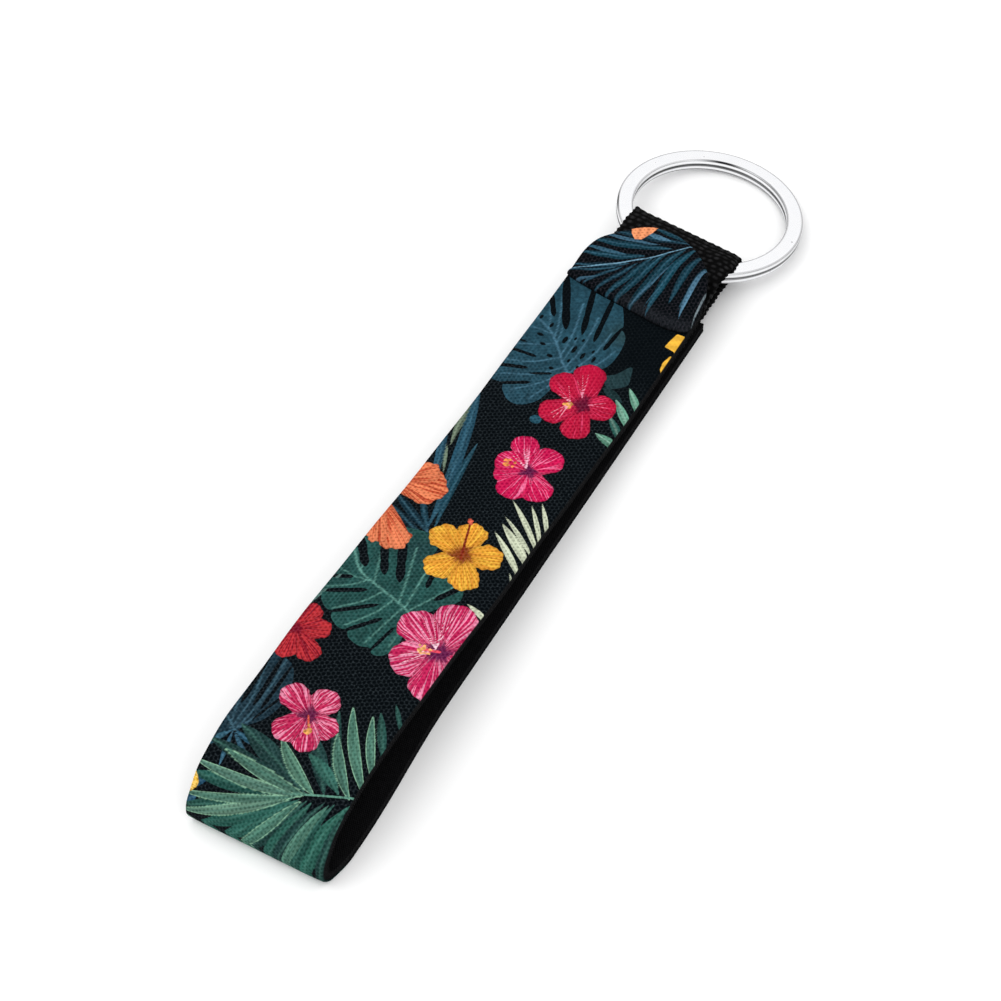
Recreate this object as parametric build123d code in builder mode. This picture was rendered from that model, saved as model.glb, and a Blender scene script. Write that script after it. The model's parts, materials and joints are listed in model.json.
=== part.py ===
"""Wristlet keychain: a laminated strap loop, a webbing eye and a flat split ring.

Frame: X across the strap, +Y towards the ring, Z up. The origin is the middle of the
loop's underside, so the strap rests on z = 0 and runs from -strap_reach to +strap_reach.
"""
import os
from math import cos, radians, sin

from build123d import *

# ---- driving dimensions, millimetres and degrees ----
strap_width = 25.4
strap_reach = 66.8
face_thickness = 0.5
core_thickness = 1.2
lining_thickness = 0.4

webbing_width = 22.2
webbing_thickness = 1.4
webbing_offset = 0.7
tail_length = 12.9

ring_outer_radius = 17.5
ring_inner_radius = 14.5
coil_thickness = 1.14
coil_gap = 0.05
ring_jog_angle = 24.0
ring_jog_middle = 285.0
ring_end_gap = 1.5
ring_centre = (1.9, 90.5, 3.41)
ring_pitch = 6.9
ring_roll = 2.4

cover_hem_y = 59.6
cover_face_thickness = 0.5
cover_pad_thickness = 1.0
cover_lift = 1.9

stitch_length = 2.0
stitch_width = 0.5
stitch_depth = 0.25
stitch_pitch = 2.8

# ---- worked out from them ----
laminate = face_thickness + core_thickness + lining_thickness
tail_floor = laminate
tail_top = laminate + 2 * webbing_thickness
panel_top = tail_top + laminate
hinge_y = strap_reach + 1.8
hinge_z = (tail_floor + tail_top) / 2
nose_radius = webbing_thickness
cover_radius = strap_width / 2
cover_arch_y = strap_reach - 0.6
cover_tip_y = cover_arch_y + cover_radius

# outside of the strap seen from its side: front end, shoulder, folded tip, back end
strap_outline = [
    (strap_reach, panel_top),
    (32.4, panel_top),
    (-31.6, 12.6),
    (-54.6, 12.8),
    (-62.6, 10.2),
    (-strap_reach, 5.0),
    (-strap_reach, 0.0),
    (strap_reach, 0.0),
]
strap_bend_radii = [200.0, 200.0, 20.0, 7.0, 5.0, 2.6]

# the space that the ring's wire fills in the webbing eye, seen from its side
eye_cavity_outline = [
    (71.2, hinge_z),
    (73.0, 6.95),
    (78.8, 6.9),
    (83.6, 6.15),
    (83.6, 2.85),
    (79.4, 2.85),
    (75.6, 3.3),
]
eye_bend_radius = 0.6

# the underside of the end cover, from its hem up over the webbing
cover_underside = [
    (cover_hem_y, panel_top),
    (cover_hem_y + 5.4, panel_top),
    (hinge_y + 1.9, panel_top + cover_lift),
    (cover_tip_y + 1.0, panel_top + cover_lift),
]
cover_bend_radius = 6.0

# the sewn box that holds the webbing, and the row that holds the cover's hem
box_half_width = 9.0
box_low_y = 61.8
box_high_y = 65.8
diagonal_inset = 1.6
hem_row_y = 60.4
hem_half_width = strap_width / 2 - 1.5


def strap_layer(inner_depth, outer_depth):
    """One layer of the strap as a side view, between two depths under its outside."""
    with BuildSketch() as section:
        for depth, mode in ((inner_depth, Mode.ADD), (outer_depth, Mode.SUBTRACT)):
            if depth:
                with BuildLine():
                    FilletPolyline(*strap_outline, radius=strap_bend_radii)
                    offset(amount=depth, side=Side.LEFT, closed=True)
                make_face(mode=mode)
    return section.sketch_local


def stitch_row(start, end):
    """Places of the stitches along a straight seam: their middles and their direction."""
    run = Vector(*end) - Vector(*start)
    count = max(1, round(run.length / stitch_pitch))
    heading = Vector(1, 0, 0).get_signed_angle(run)
    middles = [Vector(*start) + run * ((i + 0.5) / count) for i in range(count)]
    return [Location((middle.X, middle.Y), heading) for middle in middles]


def box_rows():
    """The four sides and two diagonals of the sewn box."""
    low_left, low_right = (-box_half_width, box_low_y), (box_half_width, box_low_y)
    high_left, high_right = (-box_half_width, box_high_y), (box_half_width, box_high_y)
    rows = stitch_row(low_left, low_right) + stitch_row(high_left, high_right)
    for x in (-box_half_width, box_half_width):
        rows += [Location((x, (box_low_y + box_high_y) / 2), 90)]
    rows += stitch_row((-box_half_width + diagonal_inset, box_low_y + diagonal_inset),
                       (-diagonal_inset, box_high_y - diagonal_inset))
    rows += stitch_row((diagonal_inset, box_low_y + diagonal_inset),
                       (box_half_width - diagonal_inset, box_high_y - diagonal_inset))
    return rows


# ---- stitches, sunk flush into the printed face ----
with BuildPart() as webbing_box_stitches:
    for level in (0.0, panel_top - stitch_depth):
        with BuildSketch(Plane.XY.offset(level)):
            with Locations(*box_rows()):
                SlotOverall(stitch_length, stitch_width)
        extrude(amount=stitch_depth)
webbing_box_stitches.part.label = "webbing_box_stitches"

with BuildPart() as cover_hem_stitches:
    with BuildSketch(Plane.XY.offset(panel_top - stitch_depth)):
        with Locations(*stitch_row((-hem_half_width, hem_row_y), (hem_half_width, hem_row_y))):
            SlotOverall(stitch_length, stitch_width)
    extrude(amount=stitch_depth)
cover_hem_stitches.part.label = "cover_hem_stitches"

# ---- the strap's three bonded layers ----
with BuildPart() as strap_printed_face:
    with BuildSketch(Plane.YZ):
        add(strap_layer(face_thickness, 0))
    extrude(amount=strap_width / 2, both=True)
    add(webbing_box_stitches.part, mode=Mode.SUBTRACT)
    add(cover_hem_stitches.part, mode=Mode.SUBTRACT)
strap_printed_face.part.label = "strap_printed_face"

with BuildPart() as strap_foam_core:
    with BuildSketch(Plane.YZ):
        add(strap_layer(face_thickness + core_thickness, face_thickness))
    extrude(amount=strap_width / 2, both=True)
strap_foam_core.part.label = "strap_foam_core"

with BuildPart() as strap_lining:
    with BuildSketch(Plane.YZ):
        add(strap_layer(laminate, face_thickness + core_thickness))
    extrude(amount=strap_width / 2, both=True)
strap_lining.part.label = "strap_lining"


def cover_layer(inner_height, outer_height):
    """One layer of the end cover: its side view swept across, trimmed to the arched plan."""
    with BuildPart() as layer:
        with BuildSketch(Plane.YZ):
            for height, mode in ((outer_height, Mode.ADD), (inner_height, Mode.SUBTRACT)):
                if height:
                    with BuildLine():
                        FilletPolyline(*cover_underside, radius=cover_bend_radius)
                        offset(amount=height, side=Side.LEFT, closed=True)
                    make_face(mode=mode)
        extrude(amount=strap_width / 2, both=True)
        with BuildSketch(Plane.XY):
            with Locations((0, (cover_hem_y + cover_arch_y) / 2)):
                Rectangle(strap_width, cover_arch_y - cover_hem_y)
            with Locations((0, cover_arch_y)):
                Circle(cover_radius)
        extrude(amount=2 * panel_top, mode=Mode.INTERSECT)
    return layer.part


# ---- the end cover: a padded patch of the same printed cloth ----
with BuildPart() as end_cover_pad:
    add(cover_layer(0, cover_pad_thickness))
end_cover_pad.part.label = "end_cover_pad"

with BuildPart() as end_cover_face:
    add(cover_layer(cover_pad_thickness, cover_pad_thickness + cover_face_thickness))
end_cover_face.part.label = "end_cover_face"

# ---- the webbing: a doubled tail sewn into the strap, and the eye that flexes on it ----
with BuildPart() as webbing_tail:
    with BuildSketch(Plane.XY.offset(tail_floor)):
        with Locations((webbing_offset, hinge_y - nose_radius - 0.3 - tail_length / 2)):
            Rectangle(webbing_width, tail_length)
    extrude(amount=tail_top - tail_floor)
webbing_tail.part.label = "webbing_tail"

with BuildSketch() as eye_cavity:
    with BuildLine():
        Polyline(*eye_cavity_outline, close=True)
    make_face()
    fillet(eye_cavity.vertices(), radius=eye_bend_radius)

with BuildPart() as webbing_eye:
    with BuildSketch(Plane.YZ.offset(webbing_offset)) as eye_section:
        add(eye_cavity.sketch_local)
        offset(amount=webbing_thickness)
        with Locations((hinge_y, hinge_z)):
            Circle(nose_radius)
        neck_length = eye_cavity_outline[0][0] + 1.0 - hinge_y
        with Locations((hinge_y + neck_length / 2, hinge_z)):
            Rectangle(neck_length, 2 * webbing_thickness)
        add(eye_cavity.sketch_local, mode=Mode.SUBTRACT)
    extrude(amount=webbing_width / 2, both=True)
webbing_eye.part.label = "webbing_eye"

# ---- the split ring: one flat wire, two turns, a jog where it steps from one to the other ----
ring_normal = Vector(sin(radians(ring_roll)), sin(radians(ring_pitch)), cos(radians(ring_pitch)))
ring_plane = Plane(origin=ring_centre, x_dir=(cos(radians(ring_roll)), 0, -sin(radians(ring_roll))),
                   z_dir=ring_normal)
wire_width = ring_outer_radius - ring_inner_radius
wire_radius = (ring_outer_radius + ring_inner_radius) / 2
coil_rise = (coil_thickness + coil_gap) / 2
turn_arc = 360 - ring_jog_angle - ring_end_gap
wire_edge_radius = 0.25


def wire_plane(angle):
    """The plane across the wire at an angle round the ring: x outwards, y along the ring's axis."""
    outwards = Vector(cos(radians(angle)), sin(radians(angle)), 0)
    return Plane(origin=outwards * wire_radius, x_dir=outwards, z_dir=outwards.cross(Vector(0, 0, 1)))


def wire_section(angle, rise):
    """The wire's rounded section at an angle round the ring, raised along the ring's axis."""
    with BuildSketch(wire_plane(angle)) as section:
        with Locations((0, rise)):
            RectangleRounded(wire_width, coil_thickness, wire_edge_radius)
    return section.sketch


def ease(part):
    """Smooth step from 0 to 1."""
    return part * part * (3 - 2 * part)


jog_steps = 6
with BuildPart() as ring_at_origin:
    # the upper turn ends where the jog starts, and the lower turn begins where it ends
    for rise, start in ((coil_rise, ring_jog_angle / 2 + ring_end_gap), (-coil_rise, ring_jog_angle / 2)):
        revolve(wire_section(start, rise), axis=Axis.Z, revolution_arc=turn_arc)
    for i in range(jog_steps + 1):
        part_way = i / jog_steps
        add(wire_section(ring_jog_angle * (part_way - 0.5), coil_rise * (1 - 2 * ease(part_way))))
    loft()

with BuildPart() as split_ring:
    add(ring_at_origin.part.located(ring_plane.location * Location((0, 0, 0), (0, 0, ring_jog_middle))))
split_ring.part.label = "split_ring"

pieces = [
    strap_printed_face, strap_foam_core, strap_lining, end_cover_face, end_cover_pad, webbing_tail,
    webbing_eye, split_ring, webbing_box_stitches, cover_hem_stitches,
]
os.makedirs("parts", exist_ok=True)
for piece in pieces:
    export_step(piece.part, f"parts/{piece.part.label}.step")
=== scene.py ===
"""Looks for the wristlet keychain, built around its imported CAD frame.

Shapes are worked out in millimetres and turned into metres when a mesh is made. A point of the strap's cloth is
(u, v): u across the strap, and v along its outside from the end cover's hem towards the folded tip.
"""
import json
from math import cos, pi, radians, sin

import bpy
import numpy as np
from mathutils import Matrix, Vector


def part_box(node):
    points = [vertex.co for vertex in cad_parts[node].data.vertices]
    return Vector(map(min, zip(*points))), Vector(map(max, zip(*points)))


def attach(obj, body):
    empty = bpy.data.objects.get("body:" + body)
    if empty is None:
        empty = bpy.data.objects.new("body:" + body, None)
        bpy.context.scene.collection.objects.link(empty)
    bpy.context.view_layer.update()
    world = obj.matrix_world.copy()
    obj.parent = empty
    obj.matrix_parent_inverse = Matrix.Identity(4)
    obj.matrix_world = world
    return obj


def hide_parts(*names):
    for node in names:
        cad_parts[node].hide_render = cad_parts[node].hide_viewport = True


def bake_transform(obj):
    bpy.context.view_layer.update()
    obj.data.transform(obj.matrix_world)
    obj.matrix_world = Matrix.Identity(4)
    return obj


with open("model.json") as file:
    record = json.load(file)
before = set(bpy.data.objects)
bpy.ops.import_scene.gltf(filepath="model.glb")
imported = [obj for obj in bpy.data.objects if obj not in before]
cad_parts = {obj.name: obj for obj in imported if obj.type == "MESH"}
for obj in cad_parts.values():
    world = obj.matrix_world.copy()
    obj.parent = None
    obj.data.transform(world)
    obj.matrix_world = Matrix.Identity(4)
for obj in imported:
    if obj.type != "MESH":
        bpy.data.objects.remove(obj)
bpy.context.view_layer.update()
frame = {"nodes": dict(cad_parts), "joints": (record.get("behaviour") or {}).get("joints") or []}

MM = 0.001

# ---- sizes of the design, as in the CAD ----
low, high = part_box("strap_printed_face")
STRAP_WIDTH = (high.x - low.x) / MM
STRAP_REACH = high.y / MM
FACE_THICKNESS, CORE_THICKNESS, LINING_THICKNESS = 0.5, 1.2, 0.4
LAMINATE = FACE_THICKNESS + CORE_THICKNESS + LINING_THICKNESS
low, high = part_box("webbing_tail")
TAIL_START, TAIL_TOP = low.y / MM, high.z / MM
PANEL_TOP = TAIL_TOP + LAMINATE
HEM_DISTANCE = STRAP_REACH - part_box("end_cover_pad")[0].y / MM  # along the strap, from its end to the cover's hem
RING = next(joint for joint in frame["joints"] if joint["name"] == "ring_turn")

STRAP_OUTLINE = [
    (STRAP_REACH, PANEL_TOP), (32.4, PANEL_TOP), (-31.6, 12.6), (-54.6, 12.8), (-62.6, 10.2),
    (-STRAP_REACH, 5.0), (-STRAP_REACH, 0.0), (STRAP_REACH, 0.0),
]
STRAP_BENDS = [200.0, 200.0, 20.0, 7.0, 5.0, 2.6]
TIP_V = 131.3  # the folded tip's v

# the webbing's middle line: out between the panels, over the ring's wire, folded back under it
WEBBING_ROUTE = [
    (TAIL_START, 4.2), (68.0, 4.2), (73.0, 7.2), (78.6, 7.0), (82.2, 5.8), (82.75, 2.2), (79.0, 2.2),
    (75.4, 2.7), (70.6, 2.8), (TAIL_START, 2.8),
]
WEBBING_BENDS = [4.0, 2.4, 8.0, 1.2, 1.3, 10.0, 10.0, 10.0]

COVER_UNDERSIDE = [(57.0, PANEL_TOP), (65.0, PANEL_TOP), (70.5, PANEL_TOP + 1.9), (82.0, PANEL_TOP + 1.9)]
COVER_OUTLINE = [
    (-12.7, 63.0), (-12.5, 61.4), (-7.2, 60.2), (-2.2, 59.5), (3.1, 58.8), (7.0, 58.3), (10.6, 58.4), (12.7, 59.4),
    (13.0, 61.6), (12.7, 65.4), (11.9, 68.9), (10.5, 71.9), (8.9, 73.8), (6.3, 75.9), (3.0, 77.4), (0.0, 77.9),
    (-3.2, 77.6), (-5.7, 76.2), (-7.8, 74.2), (-9.7, 72.1), (-11.3, 70.0), (-12.3, 67.8), (-12.7, 65.6),
]


# ---- lines and meshes ----
def bent_line(corners, radii):
    """Dense points along straight runs joined by tangent arcs."""
    corners = [np.array(corner, float) for corner in corners]
    points = [corners[0]]
    for before, corner, after, radius in zip(corners, corners[1:], corners[2:], radii):
        back = (before - corner) / np.linalg.norm(before - corner)
        on = (after - corner) / np.linalg.norm(after - corner)
        half = np.arccos(np.clip(back @ on, -1, 1)) / 2
        start = corner + back * radius / np.tan(half)
        centre = corner + (back + on) / np.linalg.norm(back + on) * radius / sin(half)
        spoke = start - centre
        turn = np.sign(spoke[0] * back[1] - spoke[1] * back[0]) * (2 * half - pi)
        for angle in np.linspace(0, turn, max(4, int(abs(np.degrees(turn)) / 2))):
            spin = np.array([[cos(angle), -sin(angle)], [sin(angle), cos(angle)]])
            points.append(centre + spin @ spoke)
    points.append(corners[-1])
    return np.array(points)


class Route:
    """A line in the side view, (y, z), read by the distance along it."""

    def __init__(self, points):
        self.points = points
        runs = np.linalg.norm(np.diff(points, axis=0), axis=1)
        self.distance = np.concatenate([[0], np.cumsum(runs)])
        self.length = self.distance[-1]

    def at(self, distance):
        return np.stack([np.interp(distance, self.distance, self.points[:, k]) for k in (0, 1)], -1)

    def left(self, distance, reach=0.35):
        """The unit normal to the left of the way it goes."""
        ahead = self.at(np.clip(distance + reach, 0, self.length))
        behind = self.at(np.clip(distance - reach, 0, self.length))
        way = (ahead - behind) / np.linalg.norm(ahead - behind, axis=-1, keepdims=True)
        return np.stack([-way[..., 1], way[..., 0]], -1)


def smooth(x, start, end):
    """Smooth step from 0 at start to 1 at end."""
    t = np.clip((np.asarray(x, float) - start) / (end - start), 0, 1)
    return t * t * (3 - 2 * t)


def spline(points, per_span=8, closed=True):
    """A smooth line through the points, as dense points."""
    points = np.array(points, float)
    count = len(points)
    spans = count if closed else count - 1
    t = np.linspace(0, 1, per_span, endpoint=False)[:, None]
    found = []
    for i in range(spans):
        a, b, c, d = (points[(i + k) % count if closed else min(max(i + k, 0), count - 1)] for k in (-1, 0, 1, 2))
        found.append(0.5 * (2 * b + (c - a) * t + (2 * a - 5 * b + 4 * c - d) * t**2 + (3 * b - a - 3 * c + d) * t**3))
    if not closed:
        found.append(points[-1:])
    return np.concatenate(found)


def grid_faces(rows, columns, first=0, wrap=False):
    """Quads of a grid of points held row by row, closed across the columns if wrap."""
    across = np.arange(columns if wrap else columns - 1)
    down = np.arange(rows - 1)[:, None] * columns
    a, b = (down + across).ravel(), (down + (across + 1) % columns).ravel()
    return (np.stack([a, b, b + columns, a + columns], 1) + first).tolist()


def tube_faces(rows, around, first=0):
    """Faces of a tube of points held ring by ring, with a cap at each end."""
    last = first + (rows - 1) * around
    caps = [list(range(first, first + around))[::-1], list(range(last, last + around))]
    return grid_faces(rows, around, first, wrap=True) + caps


def make_piece(name, points, faces, material, sharp):
    """A mesh from points in millimetres, shaded smooth but for its sharp edges."""
    mesh = bpy.data.meshes.new(name)
    mesh.from_pydata((np.asarray(points) * MM).tolist(), [], faces)
    mesh.update()
    mesh.polygons.foreach_set("use_smooth", [True] * len(mesh.polygons))
    mesh.set_sharp_from_angle(angle=radians(sharp))
    mesh.materials.append(material)
    piece = bpy.data.objects.new(name, mesh)
    bpy.context.scene.collection.objects.link(piece)
    return piece


def keep(piece, name, values):
    """Keeps a number or a vector for every point of the mesh, for its material to read."""
    values = np.asarray(values, np.float32)
    kind, field = ("FLOAT", "value") if values.ndim == 1 else ("FLOAT_VECTOR", "vector")
    piece.data.attributes.new(name, kind, "POINT").data.foreach_set(field, values.ravel())


def flat_places(x, y):
    return np.column_stack([x, y, np.zeros(len(x))])


# ---- material nodes ----
class Nodes:
    """Short names for the nodes of one material."""

    def __init__(self, name):
        self.material = bpy.data.materials.new(name)
        self.material.use_nodes = True
        self.tree = self.material.node_tree
        self.shader = self.tree.nodes["Principled BSDF"]

    def add(self, kind, inputs=(), out=0, **settings):
        node = self.tree.nodes.new(kind)
        for key, value in settings.items():
            setattr(node, key, value)
        for key, value in dict(inputs).items():
            if isinstance(value, bpy.types.NodeSocket):
                self.tree.links.new(value, node.inputs[key])
            else:
                node.inputs[key].default_value = value
        return node.outputs[out]

    def math(self, operation, *values):
        return self.add("ShaderNodeMath", dict(enumerate(values)), operation=operation)

    def attribute(self, name, out="Fac"):
        return self.add("ShaderNodeAttribute", out=out, attribute_name=name)

    def scaled(self, vector, scale):
        return self.add("ShaderNodeVectorMath", {0: vector, 1: scale}, operation="MULTIPLY")

    def place_in_mm(self):
        return self.scaled(self.add("ShaderNodeTexCoord", out="Object"), (1000.0, 1000.0, 1000.0))

    def noise(self, vector, scale, detail=2.0, roughness=0.5):
        return self.add("ShaderNodeTexNoise", {"Vector": vector, "Scale": scale, "Detail": detail,
                                               "Roughness": roughness}, out="Fac")

    def swing(self, noise, size):
        """A noise moved to lie about nought."""
        return self.math("MULTIPLY", self.math("SUBTRACT", noise, 0.5), size)

    def fit(self, value, low, high, to_low=0.0, to_high=1.0):
        return self.add("ShaderNodeMapRange", {0: value, 1: low, 2: high, 3: to_low, 4: to_high},
                        interpolation_type="SMOOTHSTEP")

    def mix(self, share, a, b, blend="MIX"):
        return self.add("ShaderNodeMix", {0: share, 6: a, 7: b}, out=2, data_type="RGBA", blend_type=blend)

    def split(self, vector, axis):
        return self.add("ShaderNodeSeparateXYZ", {0: vector}, out=axis)

    def bump(self, height, distance, strength):
        return self.add("ShaderNodeBump", {"Height": height, "Distance": distance, "Strength": strength})

    def set(self, **inputs):
        for key, value in inputs.items():
            socket = self.shader.inputs[key.replace("_", " ")]
            if isinstance(value, bpy.types.NodeSocket):
                self.tree.links.new(value, socket)
            else:
                socket.default_value = value
        return self.material


def ink(red, green, blue):
    """A colour seen in even studio light, in 255 parts, as the share of light that its dye sends back."""
    c = np.array([red, green, blue], float) / 255
    return np.where(c <= 0.04045, c / 12.92, ((c + 0.055) / 1.055) ** 2.4)


def flat_ink(red, green, blue):
    return (*ink(red, green, blue), 1.0)


LAYERS = ["far_leaves", "leaves", "near_leaves", "petals", "stamens"]
EDGE_BLUR = 0.26  # mm over which a line of ink fades


def printed_cloth(name, knit_light):
    """Dark knitted cloth with a print of flowers and leaves, read from what each point of the mesh keeps."""
    n = Nodes(name)
    place = n.attribute("place", "Vector")
    wobble = n.swing(n.noise(place, 2.2, 3.0), 0.14)
    mottle = n.noise(place, 0.35, 3.0)
    colour = n.mix(mottle, flat_ink(2, 6, 9), flat_ink(7, 12, 16))
    grain = n.fit(n.noise(n.attribute("blade_grain", "Vector"), 1.0, 3.0), 0.3, 0.7, 0.70, 1.22)
    for layer in LAYERS:
        tint = n.attribute(f"{layer}_ink", "Vector")
        if layer == "petals":
            along_petal = n.attribute("petal_grain", "Vector")
            level = n.math("ADD", n.noise(along_petal, 1.0, 2.0, 0.5), n.attribute("streak_level"))
            tint = n.mix(n.fit(level, 0.47, 0.55), tint, n.attribute("streak_ink", "Vector"))
            ribs = n.noise(n.scaled(along_petal, (1.9, 1.3, 1.0)), 1.0, 2.0)
            tint = n.mix(1.0, tint, n.fit(ribs, 0.3, 0.7, 0.80, 1.14), "MULTIPLY")
            ragged = n.swing(ribs, 1.5)
            throat = n.fit(n.math("ADD", n.attribute("throat"), ragged), 0.40, 0.72, 0.0, 0.88)
            tint = n.mix(throat, tint, n.attribute("throat_ink", "Vector"))
        elif layer != "stamens":
            tint = n.mix(1.0, tint, grain, "MULTIPLY")
        edge = n.math("ADD", n.attribute(f"{layer}_edge"), wobble)
        colour = n.mix(n.fit(edge, -0.06, 0.06), colour, tint)
    # the knit: small dark holes in staggered rows, between loops that catch the light
    x, y = n.split(place, 0), n.split(place, 1)
    lean = n.swing(n.noise(place, 0.8, 2.0), 0.9)
    waves = []
    for per_x, per_y in ((0.76, -1.15), (0.76, 1.15), (1.52, 0.0)):
        turns = n.math("ADD", n.math("MULTIPLY", x, per_x), n.math("MULTIPLY", y, per_y))
        waves.append(n.math("COSINE", n.math("MULTIPLY", n.math("ADD", turns, lean), 2 * pi)))
    dip = n.math("ADD", n.math("ADD", waves[0], waves[1]), waves[2])
    fibres = n.noise(n.scaled(place, (3.0, 7.0, 3.0)), 1.0, 2.0)
    wear_and_sheen = n.noise(place, 1.3, 4.0, 0.6)
    height = n.math("SUBTRACT", n.math("MULTIPLY", fibres, 1.6), n.math("MULTIPLY", dip, 0.33))
    hole = n.fit(n.math("ADD", dip, n.math("MULTIPLY", fibres, 2.6)), 0.9, 4.0)
    hole = n.math("MULTIPLY", hole, n.attribute("knit"))
    # painted highlight on the raised loops, weaker in patches; the same noise varies the roughness
    lit = n.math("MULTIPLY", n.fit(height, 0.75, 1.60), n.fit(wear_and_sheen, 0.3, 0.7, 0.45, 1.0))
    colour = n.mix(n.math("MULTIPLY", lit, n.math("MULTIPLY", n.attribute("knit"), 0.12)), colour, knit_light, "ADD")
    colour = n.mix(n.math("MULTIPLY", hole, 0.38), colour, flat_ink(1, 3, 5))
    # a grey band along the cover's hem: a brushed nap, and painted highlight where the hem rolls over into the light
    brushed_and_lit = n.attribute("brushed_and_lit")
    hairs = n.fit(n.noise(n.scaled(place, (5.0, 1.6, 1.0)), 1.0, 3.0), 0.35, 0.7, 0.15, 1.0)
    colour = n.mix(n.math("MULTIPLY", brushed_and_lit, hairs), colour, flat_ink(46, 49, 54))
    colour = n.mix(n.attribute("cut"), colour, flat_ink(5, 5, 6))
    rough = n.fit(wear_and_sheen, 0.2, 0.8, 0.78, 0.92)
    return n.set(Base_Color=colour, Roughness=rough, Specular_IOR_Level=0.02, Normal=n.bump(height, 0.00006, 0.8))


def black_foam():
    """Black neoprene with small open cells along its cut edges."""
    n = Nodes("black_foam")
    place = n.place_in_mm()
    cells = n.add("ShaderNodeTexVoronoi", {"Vector": place, "Scale": 4.2}, out="Distance")
    soft = n.noise(place, 1.5, 4.0)
    # painted shade in the cells' hollows, the walls between them lighter
    colour = n.mix(n.fit(cells, 0.1, 0.6), flat_ink(1, 1, 2), flat_ink(22, 22, 23))
    colour = n.mix(n.fit(soft, 0.35, 0.75, 0.0, 0.6), colour, flat_ink(5, 5, 6))
    return n.set(Base_Color=colour, Roughness=n.fit(soft, 0.2, 0.8, 0.75, 0.95), Specular_IOR_Level=0.02,
                 Normal=n.bump(cells, 0.00012, 0.7))


def black_lining():
    """Fine black jersey that backs the foam."""
    n = Nodes("black_lining")
    place = n.attribute("place", "Vector")
    x, y = n.split(place, 0), n.split(place, 1)
    ribs = n.math("SINE", n.math("MULTIPLY", x, 2 * pi / 0.42))
    rows = n.math("SINE", n.math("MULTIPLY", y, 2 * pi / 0.5))
    soft = n.noise(place, 1.1, 4.0, 0.6)
    height = n.math("ADD", n.math("MULTIPLY", ribs, rows), n.math("MULTIPLY", soft, 1.6))
    # painted highlight: the raised ribs lighter than the hollows between them
    colour = n.mix(n.fit(height, -0.4, 2.0), flat_ink(1, 1, 2), flat_ink(26, 26, 27))
    return n.set(Base_Color=colour, Roughness=n.fit(soft, 0.2, 0.8, 0.8, 0.95), Specular_IOR_Level=0.02,
                 Normal=n.bump(height, 0.00006, 0.7))


def black_webbing():
    """Woven black nylon: each pick of the weave is a bundle of fine, slightly shiny filaments."""
    n = Nodes("black_webbing")
    place = n.attribute("place", "Vector")
    filaments = n.noise(n.scaled(place, (2.4, 9.0, 1.0)), 1.0, 4.0, 0.6)
    patches = n.noise(place, 0.5, 2.0)
    raised_highlight = n.attribute("raised_highlight")
    # painted highlight: the raised yarns lighter, the hollows between them black
    colour = n.mix(n.fit(raised_highlight, 0.42, 0.98), flat_ink(0, 0, 0), flat_ink(36, 36, 37))
    # painted sheen along the filaments
    colour = n.mix(n.fit(filaments, 0.55, 0.8, 0.0, 0.30), colour, flat_ink(48, 48, 50))
    colour = n.mix(n.fit(patches, 0.5, 0.8, 0.0, 0.5), colour, flat_ink(3, 3, 3))
    return n.set(Base_Color=colour, Roughness=n.fit(filaments, 0.3, 0.7, 0.5, 0.75), Specular_IOR_Level=0.04,
                 Normal=n.bump(filaments, 0.00008, 0.6))


def plated_steel():
    """Bright nickel plate with faint polishing marks and the odd speck."""
    n = Nodes("plated_steel")
    place = n.place_in_mm()
    haze = n.noise(place, 0.45, 3.0)
    marks = n.noise(n.scaled(place, (14.0, 14.0, 30.0)), 1.0, 2.0)
    specks = n.fit(n.noise(place, 1.6, 0.0), 0.86, 0.89)
    colour = n.mix(haze, flat_ink(232, 233, 236), flat_ink(246, 246, 247))
    colour = n.mix(specks, colour, flat_ink(120, 120, 124))
    # painted shade: dark reflections along the wire's rounded corners and in the gap between its turns
    colour = n.mix(n.attribute("painted_edge_shade"), colour, flat_ink(34, 34, 36))
    rough = n.math("ADD", n.fit(haze, 0.3, 0.7, 0.10, 0.17), n.fit(marks, 0.4, 0.8, 0.0, 0.05))
    return n.set(Base_Color=colour, Metallic=1.0, Roughness=rough, Normal=n.bump(haze, 0.00002, 0.35))


def black_thread():
    """Twisted polyester sewing thread."""
    n = Nodes("black_thread")
    place = n.place_in_mm()
    twist = n.add("ShaderNodeTexWave", {"Vector": place, "Scale": 1.6, "Distortion": 1.0}, out="Fac",
                  bands_direction="DIAGONAL")
    # painted highlight on the crests of the twist
    colour = n.mix(twist, flat_ink(8, 8, 9), flat_ink(40, 41, 44))
    return n.set(Base_Color=colour, Roughness=n.fit(twist, 0.0, 1.0, 0.62, 0.5), Specular_IOR_Level=0.1,
                 Normal=n.bump(twist, 0.00004, 0.6))


# ---- the print ----
def near_edge(inside, reach):
    return np.exp(-np.maximum(inside, 0) / reach)


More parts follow.
